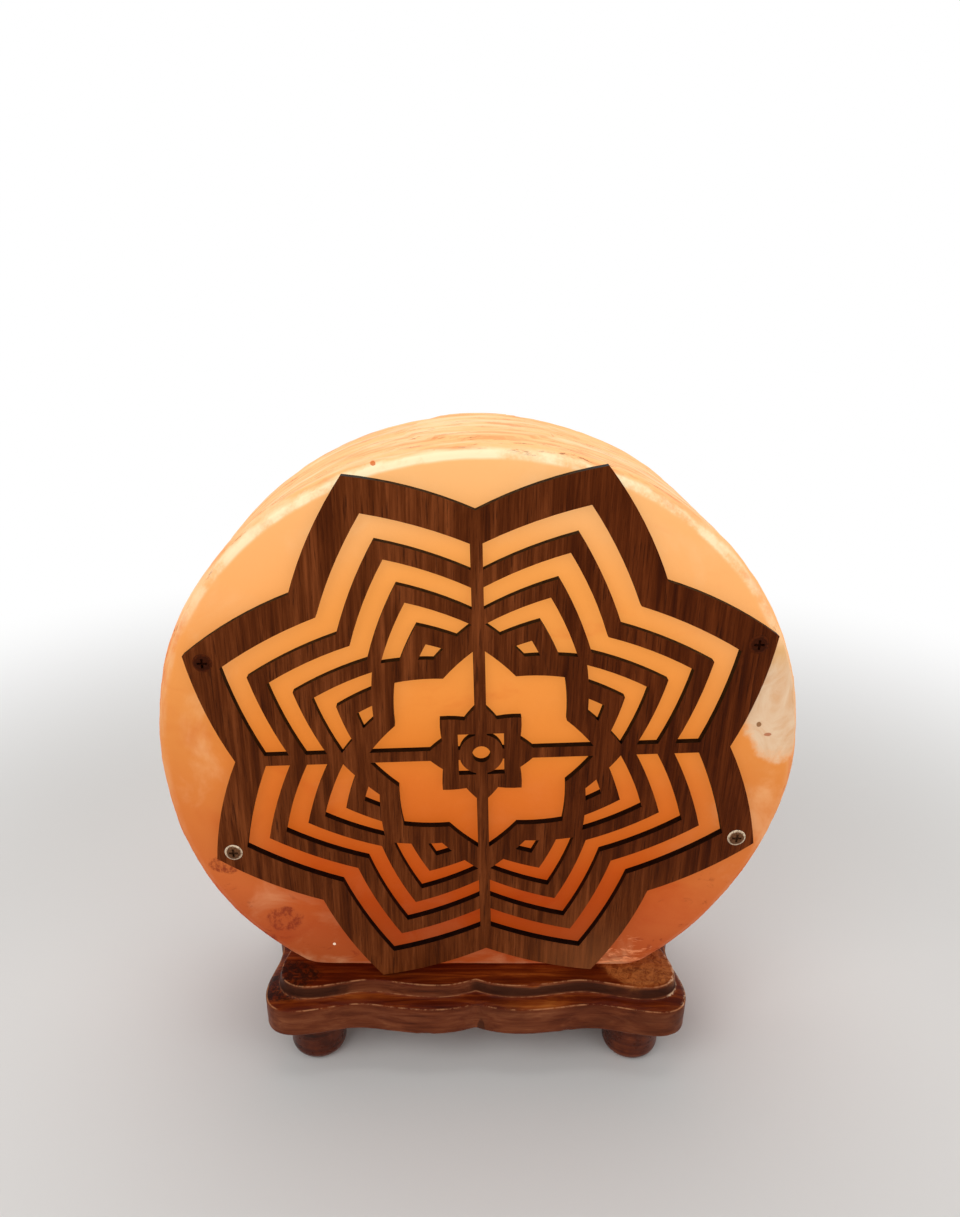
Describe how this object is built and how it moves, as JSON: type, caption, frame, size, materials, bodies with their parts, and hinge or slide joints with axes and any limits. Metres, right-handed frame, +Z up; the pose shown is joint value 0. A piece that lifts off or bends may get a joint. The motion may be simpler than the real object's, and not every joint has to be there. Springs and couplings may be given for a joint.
{
  "type": "salt crystal lamp",
  "caption": "Rock salt disc lamp with a wooden fretwork star on its face, a scalloped footed board under it, and a bulb on a spring-clipped holder inside.",
  "frame": {"origin": "on the surface that the lamp stands on, below the middle of its bounding box", "axes": "+Z up, -Y towards the viewer on the star's side, +X the viewer's right"},
  "size_m": [0.2348, 0.1076, 0.2563],
  "materials": {
    "rock_salt": "satin",
    "dark_wood": "satin",
    "red_wood": "satin",
    "foot_wood": "gloss",
    "screw_steel": "satin",
    "dark_steel": "matte",
    "plated_steel": "polished",
    "nylon": "matte",
    "spring_steel": "satin",
    "black_plastic": "satin",
    "black_rubber": "matte",
    "steatite": "matte",
    "brass": "satin",
    "bronze": "satin",
    "clear_glass": "gloss",
    "stem_glass": "gloss",
    "plated_cap": "polished",
    "black_glass": "gloss",
    "solder": "satin",
    "nickel_wire": "satin",
    "tungsten": "matte"
  },
  "bodies": {
    "lamp": {"salt_crystal": "rock_salt", "star_grille": "dark_wood", "base_board": "red_wood", "front_left_foot": "foot_wood", "front_left_foot_screw": "screw_steel", "front_right_foot": "foot_wood", "front_right_foot_screw": "screw_steel", "back_left_foot": "foot_wood", "back_left_foot_screw": "screw_steel", "back_right_foot": "foot_wood", "back_right_foot_screw": "screw_steel", "upper_right_grille_screw": "dark_steel", "upper_right_grille_plug": "nylon", "lower_right_grille_screw": "screw_steel", "lower_right_grille_plug": "nylon", "upper_left_grille_screw": "dark_steel", "upper_left_grille_plug": "nylon", "lower_left_grille_screw": "screw_steel", "lower_left_grille_plug": "nylon", "left_salt_screw": "screw_steel", "left_salt_plug": "nylon", "right_salt_screw": "screw_steel", "right_salt_plug": "nylon"},
    "holder": {"holder_shell": "black_plastic", "holder_end_cap": "black_plastic", "cord_gland": "black_rubber", "contact_carrier": "steatite", "threaded_shell": "brass", "live_terminal": "brass", "live_terminal_screw": "plated_steel", "neutral_terminal": "brass", "neutral_terminal_screw": "plated_steel", "centre_contact": "bronze", "clip_band": "spring_steel"},
    "left_clip": {"left_spring_clip": "spring_steel"},
    "right_clip": {"right_spring_clip": "spring_steel"},
    "bulb_tip": {"bulb_tip_contact": "solder"},
    "bulb": {"bulb_glass": "clear_glass", "bulb_stem": "stem_glass", "bulb_cap": "plated_cap", "bulb_cap_insulator": "black_glass", "left_lead_wire": "nickel_wire", "right_lead_wire": "nickel_wire", "bulb_filament": "tungsten"}
  },
  "joints": [
    {"name": "holder_slide", "type": "slide", "parent": "lamp", "child": "holder", "axis": [0, 0, -1], "range_m": [0, 0.085]},
    {"name": "left_clip_squeeze", "type": "hinge", "parent": "holder", "child": "left_clip", "pos_m": [-0.0154, 0, 0.047], "axis": [0, -1, 0], "range_deg": [0, 15], "stiffness_Nm_per_rad": 0.05},
    {"name": "right_clip_squeeze", "type": "hinge", "parent": "holder", "child": "right_clip", "pos_m": [0.0154, 0, 0.047], "axis": [0, 1, 0], "range_deg": [0, 15], "stiffness_Nm_per_rad": 0.05},
    {"name": "bulb_rise", "type": "slide", "parent": "holder", "child": "bulb_tip", "axis": [0, 0, 1], "range_m": [0, 0.0085]},
    {"name": "bulb_turn", "type": "hinge", "parent": "bulb_tip", "child": "bulb", "pos_m": [0, 0, 0.047], "axis": [0, 0, 1], "range_deg": [0, 1080]}
  ],
  "couplings": [
    {"joint": "bulb_rise", "follows": "bulb_turn", "m_per_rad": 0.00044913}
  ]
}
